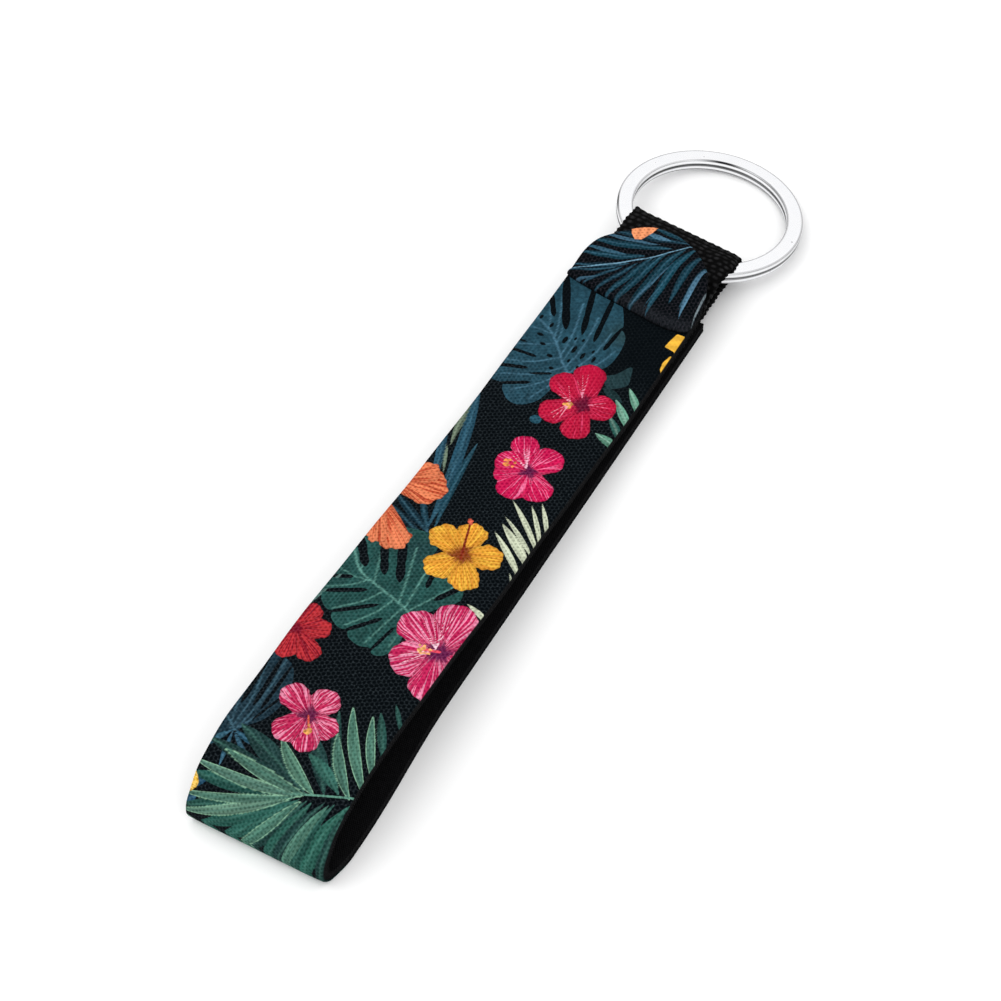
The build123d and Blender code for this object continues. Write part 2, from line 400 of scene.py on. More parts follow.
class Print:
    """Paints motifs on points of cloth. Each layer keeps, for a point, the ink of its nearest motif and how far
    inside that motif the point is, so that the material can draw a crisp edge between points."""

    def __init__(self, u, v):
        self.u, self.v = u, v
        count = len(u)
        self.edge = {layer: np.full(count, -6.0) for layer in LAYERS}
        self.ink = {layer: np.zeros((count, 3)) for layer in LAYERS}
        vectors, numbers = ("petal_grain", "blade_grain", "streak_ink", "throat_ink"), ("streak_level", "throat")
        self.details = {name: np.zeros((count, 3)) for name in vectors} | {name: np.zeros(count) for name in numbers}

    def put(self, layer, inside, colour, **also):
        """Paints a motif over what its layer holds."""
        over = (inside > 0) | (inside > self.edge[layer])
        self.edge[layer] = np.maximum(inside, self.edge[layer])
        self.ink[layer][over] = np.broadcast_to(colour, self.ink[layer].shape)[over]
        for name, values in also.items():
            kept = self.details[name]
            kept[over] = np.broadcast_to(values, kept.shape)[over]

    def vein(self, layer, points, width, colour):
        """Draws a thin line in a layer's ink."""
        line = spline(points, 5, closed=False)
        share = np.clip(0.5 + (width / 2 - self.away(line)) / EDGE_BLUR, 0, 1)[:, None] * 0.85
        self.ink[layer] = self.ink[layer] * (1 - share) + np.asarray(colour) * share

    def away(self, line):
        """Distance from each point to a line of points."""
        found = np.full(len(self.u), 99.0)
        for (ax, ay), (bx, by) in zip(line, line[1:]):
            dx, dy = bx - ax, by - ay
            t = np.clip(((self.u - ax) * dx + (self.v - ay) * dy) / (dx * dx + dy * dy + 1e-9), 0, 1)
            found = np.minimum(found, np.hypot(self.u - ax - t * dx, self.v - ay - t * dy))
        return found

    def in_outline(self, outline):
        """How far inside a closed line of points each point is, negative outside."""
        crossings = np.zeros(len(self.u), int)
        for (ax, ay), (bx, by) in zip(outline, np.roll(outline, -1, 0)):
            level = (ay > self.v) != (by > self.v)
            with np.errstate(divide="ignore", invalid="ignore"):
                reach = ax + (self.v - ay) * (bx - ax) / (by - ay)
            crossings += level & (self.u < reach)
        away = self.away(np.concatenate([outline, outline[:1]]))
        return np.where(crossings % 2 == 1, away, -away)

    def along_and_across(self, base, tip):
        """Each point's place along and across the line from base to tip, and the line's length."""
        base, tip = np.array(base, float), np.array(tip, float)
        length = np.linalg.norm(tip - base)
        way = (tip - base) / length
        du, dv = self.u - base[0], self.v - base[1]
        return du * way[0] + dv * way[1], dv * way[0] - du * way[1], length

    def in_blade(self, base, tip, half, bend=0.0, widest=0.45):
        """How far inside a lens-shaped blade each point is, and its place across and along it."""
        along, across, length = self.along_and_across(base, tip)
        t = along / length
        on = np.clip(t, 0, 1)
        across = across - bend * length * 4 * on * (1 - on)
        power = np.log(0.5) / np.log(widest)
        profile = half * np.sin(pi * on**power) ** 0.85
        return profile - np.hypot(across, (t - on) * length), across, t * length

    def blade(self, layer, base, tip, half, colour, bend=0.0, widest=0.45, rib=None, split=0.12, rim=None):
        """A leaf blade: one half a little lighter, a fine rib along its middle. A rim is a pale edge around it,
        painted on the layer behind."""
        inside, across, along = self.in_blade(base, tip, half, bend, widest)
        if rim is not None:
            behind = LAYERS[LAYERS.index(layer) - 1]
            self.put(behind, inside + 0.12, ink(*rim))
        shade = 1 + split * np.tanh(across / 0.12) - 0.10 * near_edge(inside, 0.22)
        colour = ink(*colour) * shade[:, None]
        if rib is not None:
            share = (np.clip(0.5 + (0.11 - np.abs(across)) / EDGE_BLUR, 0, 1) * 0.75)[:, None]
            colour = colour * (1 - share) + ink(*rib) * share
        seed = base[0] * 3.1 + tip[1] * 1.7
        grain = np.stack([across * 3.2, along * 0.22, np.full_like(along, seed)], -1)
        self.put(layer, inside, colour, blade_grain=grain)

    def blades(self, layer, rows, **look):
        """Blades that look alike, each with its base, tip, half-width, bend and colour."""
        for base, tip, half, bend, colour in rows:
            self.blade(layer, base, tip, half, colour, bend, **look)

    def lobed_leaf(self, layer, outline, slots, holes, stalks, colour, vein_colour, light=None):
        """A big cut leaf: an outline with slots and holes, and veins that branch from its stalk."""
        inside = self.in_outline(spline(outline, 7))
        for start, end, half in slots:
            for widest in (0.45, 0.78):
                inside = np.minimum(inside, -self.in_blade(start, end, half, widest=widest)[0])
        for u, v, half_u, half_v in holes:
            away = np.hypot((self.u - u) / half_u, (self.v - v) / half_v)
            inside = np.minimum(inside, (away - 1) * min(half_u, half_v))
        tone = 1 + 0.10 * np.sin(self.u * 0.8 + self.v * 0.5) + 0.08 * np.sin(self.u * 1.9 - self.v * 1.1)
        shade = tone + 0.10 * near_edge(inside, 0.30) - 0.04
        painted = ink(*colour) * shade[:, None]
        if light is not None:
            centre, reach, glow = light
            share = np.exp(-((self.u - centre[0]) ** 2 + (self.v - centre[1]) ** 2) / reach**2)[:, None]
            painted = painted * (1 - share) + ink(*glow) * share
        grain = np.stack([self.u * 1.3, self.v * 1.3, np.zeros_like(self.u)], -1)
        self.put(layer, inside, painted, blade_grain=grain)
        for points, width in stalks:
            self.vein(layer, points, width, ink(*vein_colour))

    def flower(self, centre, petals, half, colour, streak, core, ruffle=0.06, level=(0.0, 0.0), throat=0.3):
        """Broad petals with streaks that run from a dark, ragged throat. Each petal is its tip and its share of the
        half-width; level is how much of a petal its streaks take, near its middle and at its rim."""
        for index, (tip, share) in enumerate(petals):
            along, across, length = self.along_and_across(centre, tip)
            radius = half * share
            disc_u = along - (length - radius * 0.92)
            turn = np.arctan2(across, disc_u)
            seed = centre[1] * 1.37 + index * 2.1
            frill = ruffle * (np.sin(5 * turn + seed) + 0.6 * np.sin(11 * turn + 2 * seed)) * (np.abs(turn) < 2.2)
            disc = radius - np.hypot(disc_u / 0.92, across) + frill
            t = np.clip(along / (length - radius), 0, 1)
            wedge = np.minimum(radius * (0.34 + 0.62 * t**0.5) - np.abs(across), along + 0.3)
            wedge = np.where(along > length - radius, disc, wedge)
            inside = np.maximum(disc, wedge)
            reach = np.clip(along / length, 0, 1)
            width = np.maximum(0.2 + radius * np.clip(along / (length - radius * 0.7), 0, 1), 0.2)
            shade = 1.07 - 0.45 * near_edge(inside, 0.17) + 0.06 * np.sin(3 * across / width + seed)
            painted, streaked = ink(*colour) * shade[:, None], ink(*streak) * shade[:, None]
            grain = np.stack([across / width * 9.0 + seed * 5, reach * 1.3, np.full_like(reach, seed)], -1)
            self.put("petals", inside, painted, petal_grain=grain, streak_ink=streaked,
                     streak_level=level[0] + (level[1] - level[0]) * reach,
                     throat=1 - along / (2.2 * throat * length), throat_ink=ink(*core))

    def plain_petal(self, outline, colour, per_u, per_v):
        """A petal with neither streaks nor a throat, only faint waves of light."""
        tone = ink(*colour) * (1 + 0.16 * np.sin(self.u * per_u + self.v * per_v))[:, None]
        self.put("petals", self.in_outline(np.array(outline)), tone, streak_ink=tone, streak_level=-1, throat=-1)

    def stamen(self, centre, end, size, rod, dots, rod_half=0.15):
        """A thin rod from near the flower's middle with a cluster of small dots at its end."""
        centre, end = np.array(centre), np.array(end)
        self.put("stamens", rod_half - self.away(np.array([centre, end])), ink(*rod))
        spin = np.random.default_rng(int(centre[1] * 10))
        way = (end - centre) / np.linalg.norm(end - centre)
        side = np.array([-way[1], way[0]])
        for _ in range(15):
            spot = end + way * spin.uniform(-1.2, 0.7) * size + side * spin.uniform(-0.75, 0.75) * size
            tone = ink(*dots) * spin.uniform(0.55, 1.35)
            self.put("stamens", 0.24 * (0.7 + size * 0.3) - np.hypot(self.u - spot[0], self.v - spot[1]), tone)

    def hairs(self, start, ends, colour, half=0.07):
        """Fine pale lines that fan out over a petal."""
        for end in ends:
            self.put("stamens", half - self.away(spline([start, end], 2, closed=False)), ink(*colour))

    def finish(self, piece):
        for layer in LAYERS:
            keep(piece, f"{layer}_edge", self.edge[layer])
            keep(piece, f"{layer}_ink", self.ink[layer])
        for name, values in self.details.items():
            keep(piece, name, values)


BLUE_LEAF, BLUE_VEIN = (34, 68, 82), (78, 120, 142)
GREEN_LEAF, GREEN_VEIN = (34, 75, 71), (104, 158, 146)
NEAR_PALM_TINT = np.array([0.95, 0.88, 0.92])


def print_strap(p):
    """The front panel's print. The back panel, out of sight, carries it mirrored at the folded tip."""
    # blue cut leaf under the cover's hem
    p.lobed_leaf("leaves", outline=[
        (-15, -4), (-8, -4.5), (-2.5, -3), (0, 0.6), (1.9, 4), (2.3, 5.2), (3.8, 7), (4.4, 11), (3.7, 14.8),
        (0.8, 17.2), (-2.3, 20.6), (-2.3, 24), (-3, 27.2), (-5.2, 29.6), (-7.6, 29.7), (-9.6, 28), (-10.4, 26.6),
        (-12.3, 26.6), (-15, 25.5),
    ], slots=[
        ((-13.6, -3.5), (-6.5, 10.3), 0.78), ((-7.6, -4), (-3.4, 10), 0.58), ((-2.9, -3), (-0.8, 10.6), 0.5),
        ((2.1, 4.6), (1.6, 11.4), 0.42), ((-13.6, 2.6), (-9.9, 8.4), 0.52), ((-14.5, 18.6), (-7.8, 18.3), 0.36),
        ((-14.5, 23.4), (-8, 21.3), 0.44), ((-11.4, 27.2), (-6, 24), 0.42), ((-7.4, 22.4), (-3.6, 20.4), 0.3),
    ], holes=[
        (-11.9, 9.4, 0.32, 0.6), (-9.3, 10.4, 0.32, 0.65), (-5.5, 12.4, 0.4, 0.95), (-3, 13.6, 0.36, 0.95),
        (-1, 14.2, 0.34, 0.9), (1.1, 14, 0.3, 0.8), (-4, 11.2, 0.24, 0.45), (-2.6, 10.9, 0.24, 0.45),
        (0.2, 12.4, 0.24, 0.5), (-10, 13.3, 0.65, 0.36), (-8.5, 15.1, 0.6, 0.34), (-12, 16, 0.8, 0.26),
        (-6.1, 17, 0.6, 0.38), (-4.5, 19.4, 0.5, 0.34), (-2.6, 16.4, 0.26, 0.5), (-0.6, 17, 0.24, 0.45),
    ], stalks=[
        ([(-14, 9.2), (-9, 11.6), (-5.7, 14.6), (-3.5, 17.2), (-0.8, 19.6)], 0.26),
        ([(-9.2, 11.4), (-10.6, 8.4), (-12.6, 4.6)], 0.16), ([(-7.4, 13), (-8.4, 9.4), (-11, 3)], 0.18),
        ([(-4.4, 16), (-5, 10.2), (-6.8, 3)], 0.2), ([(-2.4, 18), (-1.9, 12.4), (-2.8, 4.6)], 0.2),
        ([(-1.2, 18.8), (0.6, 12.6), (1, 7)], 0.18), ([(-0.8, 19.2), (2.2, 14.6), (3.5, 10.4)], 0.16),
        ([(-8.4, 12.4), (-10.6, 12.1), (-13.2, 12.6)], 0.14), ([(-6.6, 13.9), (-9.6, 15.8), (-13.2, 17.2)], 0.16),
        ([(-4.2, 16.4), (-8.4, 19.8), (-13.2, 21.4)], 0.18), ([(-2.6, 18), (-6, 21.8), (-11.6, 24.6)], 0.16),
        ([(-1.6, 19), (-4.6, 23.4), (-8.4, 27.4)], 0.16), ([(-1.4, 19.4), (-3, 23.4), (-4.6, 27.6)], 0.14),
        ([(-6.4, 14), (-6.9, 11.4), (-7.4, 9.4)], 0.12), ([(-3.4, 17), (-3.5, 13.4), (-3.9, 10.4)], 0.12),
    ], colour=BLUE_LEAF, vein_colour=BLUE_VEIN, light=((3.2, 6.4), 3, (40, 66, 72)))
    leaf = spline([(4.6, 16.6), (6.2, 15), (7.8, 12.2), (8.8, 14.6), (9, 16.6), (6.4, 18.6)], 4)
    p.put("far_leaves", p.in_outline(leaf), ink(32, 54, 58))
    p.blade("far_leaves", (5.6, 18.8), (10.2, 20.4), 0.9, (26, 48, 50))
    # blades at the edges of the upper part
    for base, tip, half, colour in [
        ((14.2, 21.4), (9.6, 16.6), 0.72, (96, 148, 126)), ((14.2, 25.2), (8.7, 20.1), 0.85, (100, 152, 130)),
        ((14.4, 28.4), (9.5, 24), 0.8, (42, 88, 80)), ((14.8, 30), (9.4, 29), 0.95, (88, 138, 116)),
    ]:
        p.blade("near_leaves", base, tip, half, colour, rib=(150, 186, 168))
    p.put("far_leaves", 1 - np.hypot((p.u + 1.2) * 0.95, p.v - 31.3), ink(34, 76, 92))
    p.blades("far_leaves", [
        ((-14.2, 26), (-10.8, 44.6), 0.85, 0.02, (96, 112, 94)), ((-11.4, 44.4), (-8.6, 51), 0.3, 0, (96, 116, 98)),
        ((-6.4, 51.4), (-5, 54.4), 0.26, 0, (84, 104, 92)),
    ], rib=(130, 142, 122))
    p.blades("far_leaves", [
        ((-13.9, 28), (-4.4, 64), 1.05, -0.02, (34, 72, 90)), ((-14.2, 39), (-8, 56), 0.75, 0.01, (38, 76, 95)),
        ((-7, 41.6), (-3.3, 63.6), 0.62, 0.02, (20, 58, 72)), ((-8.6, 47.6), (-4.8, 60), 0.42, 0.02, (16, 50, 64)),
        ((-13.4, 58.8), (-3.6, 64.4), 0.85, 0, (12, 38, 50)),
        ((-12.4, 61.6), (-3.8, 65.4), 0.7, 0.02, (10, 32, 42)),
        ((-9.4, 56.6), (-3.8, 64.2), 0.62, 0.02, (15, 47, 60)),
    ], rib=(64, 106, 124))
    # ivory palm at the right edge
    for base, tip, half in [
        ((13.8, 54.8), (9.2, 48.2), 0.42), ((13.9, 57.4), (7.8, 49.4), 0.42), ((14, 58.6), (4.6, 50.2), 0.52),
        ((13.8, 60), (5, 54), 0.4), ((14.4, 62.4), (5.6, 55.8), 0.85), ((14, 65), (5.4, 58), 0.62),
        ((13.6, 67), (11.8, 64.6), 0.2), ((14.4, 76), (9.3, 74.3), 0.55),
    ]:
        p.blade("near_leaves", base, tip, half, (204, 211, 184), 0.02, rib=(168, 176, 150), split=0.05)
    # green cut leaf in the middle
    p.lobed_leaf("leaves", outline=[
        (-15, 66.4), (-12.4, 65.2), (-9.4, 65.4), (-6.4, 64.6), (-3.4, 64.2), (-1, 65.6), (-0.3, 69), (2.4, 70),
        (5.3, 70.2), (7.4, 72.2), (8, 74.4), (6.8, 76.4), (5, 79), (3.4, 82), (3.9, 86), (4, 88.6), (3, 90.8),
        (1.4, 91.4), (0.4, 90.5), (-1.4, 91), (-3.6, 90.4), (-4.6, 89.3), (-6.2, 89.4), (-8, 88.4), (-8.8, 87.2),
        (-10.2, 86.8), (-11.8, 85.4), (-12.6, 83.8), (-15, 82),
    ], slots=[
        ((-7.6, 65.5), (-2.4, 76.2), 0.82), ((-10, 68), (-5.4, 76), 0.74), ((-14, 69.4), (-9, 76), 0.8),
        ((1, 69.4), (2, 75), 0.48), ((7.4, 70.6), (4.3, 76.6), 0.55), ((-13.2, 84.4), (-6, 80), 0.5),
        ((-9.6, 87.8), (-2.9, 81.8), 0.44), ((-5.3, 90), (-0.9, 84), 0.44), ((0.6, 91.6), (1.7, 84.6), 0.34),
        ((-13.2, 80.6), (-9.6, 78.8), 0.46),
    ], holes=[], stalks=[
        ([(3.2, 81.4), (0.6, 80.2), (-3.4, 79), (-7.4, 77.9), (-10, 76.6), (-13.6, 72.2)], 0.3),
        ([(1, 80.3), (0.6, 76), (-0.2, 68.6)], 0.2), ([(-0.4, 79.8), (-1.4, 76), (-3.8, 68)], 0.18),
        ([(1.8, 80.7), (3.6, 77), (5.6, 72.4)], 0.16), ([(-6, 78.4), (-7.4, 74.6), (-9.4, 69)], 0.16),
        ([(-9.2, 77.2), (-10.4, 74), (-12.6, 70.4)], 0.14), ([(0.8, 80.4), (0, 84.6), (-0.8, 90)], 0.16),
        ([(-1.4, 79.7), (-2.6, 83.6), (-5.4, 88.4)], 0.18), ([(-3.8, 79), (-5.6, 82.6), (-9, 86.4)], 0.18),
        ([(-7, 78), (-9.2, 80.6), (-12.6, 83)], 0.16), ([(2.4, 81), (2.8, 84), (2.9, 88.8)], 0.16),
        ([(-6.6, 78.2), (-10, 78.6), (-13.4, 78)], 0.14),
    ], colour=GREEN_LEAF, vein_colour=GREEN_VEIN, light=((-3, 68), 3.4, (30, 62, 62)))
    p.blade("far_leaves", (-11.6, 78.2), (-12.8, 88), 0.35, (84, 116, 110))
    # blue palm low on the left: a dark cut leaf behind, light ribs over it
    p.lobed_leaf("far_leaves", outline=[
        (-15, 98), (-11.6, 98.6), (-8.6, 99.6), (-6.8, 102.6), (-6, 106.4), (-6.8, 110.4), (-8.8, 113.2),
        (-11, 115.6), (-15, 117),
    ], slots=[
        ((-10.9, 97.4), (-9.9, 109.6), 0.42), ((-8.6, 99), (-8.5, 109.6), 0.36), ((-12.9, 98.5), (-11.9, 110), 0.4),
        ((-6, 103), (-8.6, 112), 0.26),
    ], holes=[], stalks=[
        ([(-10, 114.6), (-9.3, 108), (-10, 99.2)], 0.22), ([(-9.6, 113.8), (-7.4, 108.4), (-6.9, 103.6)], 0.22),
        ([(-10.6, 114.4), (-10.9, 108), (-12.6, 101)], 0.2), ([(-11, 114.6), (-12.4, 110), (-13.4, 107)], 0.18),
        ([(-13.6, 112.2), (-10.4, 114.4), (-8.4, 116)], 0.24),
    ], colour=(25, 46, 57), vein_colour=(68, 104, 120))
    p.blades("far_leaves", [
        ((-10, 114.6), (-3.8, 114.9), 0.62, 0.06, (28, 66, 84)), ((-10, 115), (-5.2, 118.4), 0.4, 0, (30, 62, 78)),
        ((-10.4, 114.8), (-13.8, 119.4), 0.5, 0, (44, 84, 100)), ((-10.2, 115), (-9.4, 121), 0.42, 0, (36, 72, 90)),
        ((-13.6, 126.4), (-10, 123), 0.7, 0, (34, 72, 96)), ((-13.4, 129), (-11.2, 127), 0.8, 0, (34, 72, 96)),
    ], widest=0.5, rib=(70, 112, 134), split=0.2)
    # green palm across the tip: darker blades behind, lighter ones in front, all on one rib
    p.blades("leaves", [
        ((5.6, 119), (-9.8, 113.2), 1.7, 0.01, (30, 58, 56)), ((8.4, 118), (2, 109.6), 1.3, 0, (28, 56, 54)),
        ((10.2, 117.2), (2.6, 103.4), 0.85, -0.02, (26, 54, 50)),
        ((3.6, 119.8), (-13.6, 117.4), 1.2, 0.02, (24, 50, 48)), ((14, 109), (8.6, 100.6), 0.75, 0, (34, 70, 64)),
        ((14, 103), (9.8, 98), 0.42, 0, (34, 70, 66)), ((10.6, 117), (2.4, 112.8), 1.05, 0.04, (46, 92, 82)),
        ((3.6, 120), (-13.8, 123.6), 1.3, -0.02, (32, 76, 68)),
        ((4, 120.2), (-13.6, 129.6), 1.4, -0.02, (34, 74, 66)),
        ((4.4, 120.2), (-10.6, 132.4), 1.3, -0.02, (38, 86, 76)),
        ((5.2, 120), (-6.6, 133.6), 1.35, -0.02, (40, 88, 78)),
        ((6.4, 119.6), (-2.2, 134.4), 1.2, -0.02, (30, 62, 58)),
        ((7.2, 119.4), (1.4, 135), 1.35, -0.02, (36, 80, 70)), ((9, 118.8), (3.6, 135.4), 1.2, 0.02, (26, 52, 50)),
        ((12.8, 117.4), (9, 136), 1.5, 0.03, (42, 92, 80)), ((13.2, 117.6), (12.6, 136), 0.9, 0.03, (28, 58, 54)),
        ((10.6, 118.2), (7.2, 135.4), 1.1, 0.03, (34, 76, 68)),
    ], widest=0.55, rib=(66, 112, 100), split=0.14)
    for base, tip, half, bend, colour, rim in [
        ((14, 115.2), (4.3, 102), 0.95, -0.04, (82, 136, 112), True),
        ((14, 112.4), (8, 102), 0.72, -0.03, (84, 138, 114), True),
        ((12.2, 116.8), (4.8, 107.6), 0.92, -0.05, (78, 130, 108), True),
        ((6.8, 118.6), (-2.7, 112.4), 1, -0.05, (86, 138, 112), True),
        ((5.4, 119.3), (-9.7, 118), 0.98, -0.02, (78, 128, 106), True),
        ((5, 119.7), (-13.8, 121.4), 0.85, -0.04, (88, 136, 114), True),
        ((4.4, 120), (-14.4, 127.4), 0.72, -0.04, (84, 136, 112), True),
        ((3.4, 121), (-14.4, 131.2), 0.88, -0.03, (98, 146, 120), True),
        ((5.4, 120.4), (-3.8, 134.6), 0.92, -0.02, (80, 136, 112), True),
        ((9.8, 118.8), (4.8, 136), 1, 0.01, (82, 138, 114), False),
        ((14.4, 127), (12.4, 137), 0.6, 0, (130, 176, 150), False),
    ]:
        p.blade("near_leaves", base, tip, 0.9 * half, NEAR_PALM_TINT * colour, bend, widest=0.5,
                rib=(40, 84, 74), split=0.12, rim=(126, 168, 140) if rim else None)
    rib_line = p.away(spline([(14, 115.8), (6, 118.9), (3.6, 119.9)], 6, closed=False))
    p.put("near_leaves", 0.17 - rib_line, ink(92, 140, 122))
    # flowers, from the hem to the tip
    for outline in [
        [(10.7, 5.1), (10.9, 3.4), (11.3, 1.3), (14, 0.9), (14, 5.4)],
        [(13.6, 5.6), (12.5, 6.6), (12.1, 8.6), (12.4, 10.2), (13.6, 11.6)],
    ]:
        p.plain_petal(outline, (236, 180, 62), 1, 2.6)
    p.flower((4.2, 24.2), [
        ((1.6, 15.2), 1), ((10.1, 22.7), 1), ((6.6, 32.2), 0.9), ((-1.2, 30), 0.95), ((-3, 20.3), 0.9),
    ], 2.95, (176, 16, 54), (206, 54, 94), (80, 8, 40), level=(-0.08, -0.15), throat=0.18)
    p.hairs((2.3, 24.9), [
        (-1.2, 22.6), (-0.6, 24), (0.2, 21.6), (1.2, 29.4), (0.4, 28.6), (2.2, 28.8),
    ], (236, 158, 178))
    p.hairs((3.6, 23), [(1.2, 18.2), (2, 17.6), (0.8, 19.6)], (236, 150, 174))
    p.hairs((5.2, 23.8), [(7.8, 21.8), (8.4, 22.8)], (232, 130, 160))
    p.stamen((3.4, 24.7), (2, 25.7), 0.95, (150, 30, 60), (224, 160, 84), 0.1)
    p.flower((3.5, 43), [
        ((-0.9, 46.9), 0.82), ((-0.9, 35.8), 0.88), ((6.6, 36.4), 1.06), ((9, 48), 1.04), ((3, 50.4), 1),
        ((-2.6, 42.4), 0.98),
    ], 2.85, (192, 14, 74), (226, 110, 150), (68, 10, 58), level=(-0.05, -0.1), throat=0.14)
    p.hairs((3.2, 42.6), [(0.4, 38.6), (0.9, 38.2), (-0.6, 40), (1.6, 38.4), (-0.4, 41)], (244, 190, 208))
    p.stamen((3.3, 43.1), (-0.4, 42.9), 1.1, (196, 40, 70), (226, 140, 72), 0.09)
    p.flower((3.2, 65.4), [
        ((2.3, 58.2), 0.92), ((9.7, 62.9), 0.96), ((7.6, 72), 0.92), ((0.2, 71.9), 0.94), ((-3.5, 62.2), 0.98),
    ], 2.85, (208, 138, 42), (228, 172, 58), (112, 30, 16), ruffle=0.16, level=(-0.06, 0.02), throat=0.22)
    p.stamen((3.6, 66.4), (1, 58.1), 0.6, (124, 36, 18), (206, 92, 70), 0.2)
    p.hairs((3.4, 65.6), [(0.2, 63.6), (6, 63.8), (5.4, 68), (1.8, 68.4), (4.2, 61.4)], (150, 62, 22), 0.05)
    orange, orange_streak = (218, 122, 82), (176, 70, 42)
    p.flower((-15.4, 56), [((-6, 54.4), 1), ((-9.6, 50.3), 0.62)], 4.1, orange, orange_streak, (214, 116, 70),
            ruffle=0.22, level=(0.02, -0.05), throat=0.05)
    p.flower((-15, 61.6), [((-6.3, 69.8), 1), ((-10.2, 70.3), 0.66)], 2.75, orange, orange_streak, (210, 110, 66),
            ruffle=0.22, level=(0.02, -0.05), throat=0.05)
    p.flower((10.5, 86), [
        ((18.5, 87), 1), ((9.2, 75), 1.02), ((2, 81), 0.92), ((4.7, 91.5), 1), ((13, 95.2), 0.82),
    ], 3.75, (180, 26, 78), (224, 134, 164), (76, 10, 64), ruffle=0.1, level=(-0.06, -0.005), throat=0.15)
    p.hairs((9.8, 85.4), [
        (4.4, 82.2), (5.2, 81.4), (7.6, 77.8), (8.8, 77.2), (6.4, 79.8), (5.2, 89.4), (6.2, 90.8),
    ], (246, 206, 218))
    p.stamen((10.6, 85.5), (8, 86.4), 1.1, (226, 72, 92), (234, 170, 104), 0.26)
    p.flower((-12, 93), [
        ((-11.6, 87), 0.98), ((-6.8, 90.3), 0.92), ((-6.1, 97.1), 0.92), ((-11.2, 99), 0.98), ((-18, 94), 1),
    ], 2.25, (178, 44, 50), (126, 16, 34), (112, 10, 34), ruffle=0.1, level=(0, -0.05), throat=0.12)
    p.flower((-1.3, 106.6), [
        ((0.6, 101), 1), ((4.5, 108.2), 0.86), ((1.8, 113), 0.86), ((-3.8, 112.8), 0.96), ((-7.3, 103.4), 0.94),
    ], 2.65, (174, 28, 74), (222, 134, 162), (76, 12, 56), ruffle=0.08, level=(-0.06, 0), throat=0.17)
    p.stamen((-1.2, 106.8), (0.3, 109.2), 0.9, (222, 92, 70), (238, 170, 90), 0.16)
    p.flower((-15.2, 125), [((-11.6, 125), 1)], 1.9, (226, 176, 60), (238, 200, 110), (206, 150, 50))


def print_cover(p):
    """The end cover's print: one big palm leaf on a curved rib, and the corner of an orange flower."""
    teal, deep, light = (15, 51, 63), (11, 37, 48), (60, 96, 117)
    p.blades("leaves", [
        ((4.6, 76.6), (-13.4, 73), 0.85, 0.06, deep), ((2.4, 73.6), (-13.6, 69.6), 0.8, 0.06, teal),
        ((-1, 69.8), (-13.6, 66.6), 0.62, 0.05, teal), ((-3.2, 67.4), (-13.8, 63.4), 0.6, 0.04, deep),
        ((-5, 66), (-13.6, 61.8), 0.42, 0.04, deep), ((5.4, 77.4), (-4.4, 77.2), 0.8, 0.03, teal),
        ((-4, 66.4), (-9.6, 59.6), 0.4, -0.03, deep), ((-1.8, 68), (-6.8, 58.6), 0.5, -0.04, deep),
        ((0.4, 70.4), (-4.4, 57.6), 0.62, -0.04, teal), ((2.4, 72.8), (-2.4, 56.4), 0.74, -0.04, teal),
        ((4.6, 75), (1, 56), 0.86, -0.05, teal), ((6.2, 76.2), (4.6, 58.4), 0.8, -0.06, (16, 62, 76)),
        ((8, 75.4), (7.2, 62.6), 0.7, -0.05, teal), ((10, 73.6), (9.4, 62), 0.46, -0.04, deep),
    ], widest=0.45, rib=(52, 96, 116), split=0.16)
    p.blades("near_leaves", [
        ((0, 73.4), (-13, 71.6), 0.42, 0.05, light), ((-4.4, 68.8), (-13.4, 68.2), 0.36, 0.04, (52, 92, 112)),
        ((1.4, 75.2), (-4.6, 75), 0.55, 0.02, (72, 112, 136)), ((-12.4, 59.6), (-7, 63), 0.3, -0.03, light),
        ((10.2, 73), (10.4, 60.4), 0.45, -0.07, (78, 118, 142)),
        ((12.2, 70), (13.1, 60), 0.17, -0.04, (116, 130, 136)), ((4.3, 70.8), (1, 57), 0.22, -0.05, light),
        ((5.8, 72.4), (3.6, 59), 0.14, -0.05, (52, 96, 116)),
    ], widest=0.45, split=0.08)
    line = spline([(6, 77.4), (2.6, 72.8), (0, 70), (-4.3, 67.2), (-7.9, 65.2), (-13.2, 61.9)], 6, closed=False)
    p.put("near_leaves", 0.12 - p.away(line), ink(104, 144, 166))
    petal = [(-7.2, 76), (-6.4, 79.4), (-2, 79.4), (-2.6, 75.6), (-3.6, 72.9), (-4.7, 72.4), (-5.9, 73.6)]
    p.plain_petal(petal, (238, 148, 100), 4, 1)


# ---- the strap ----
strap = Route(bent_line(STRAP_OUTLINE, STRAP_BENDS))
TIP_DISTANCE = HEM_DISTANCE + TIP_V


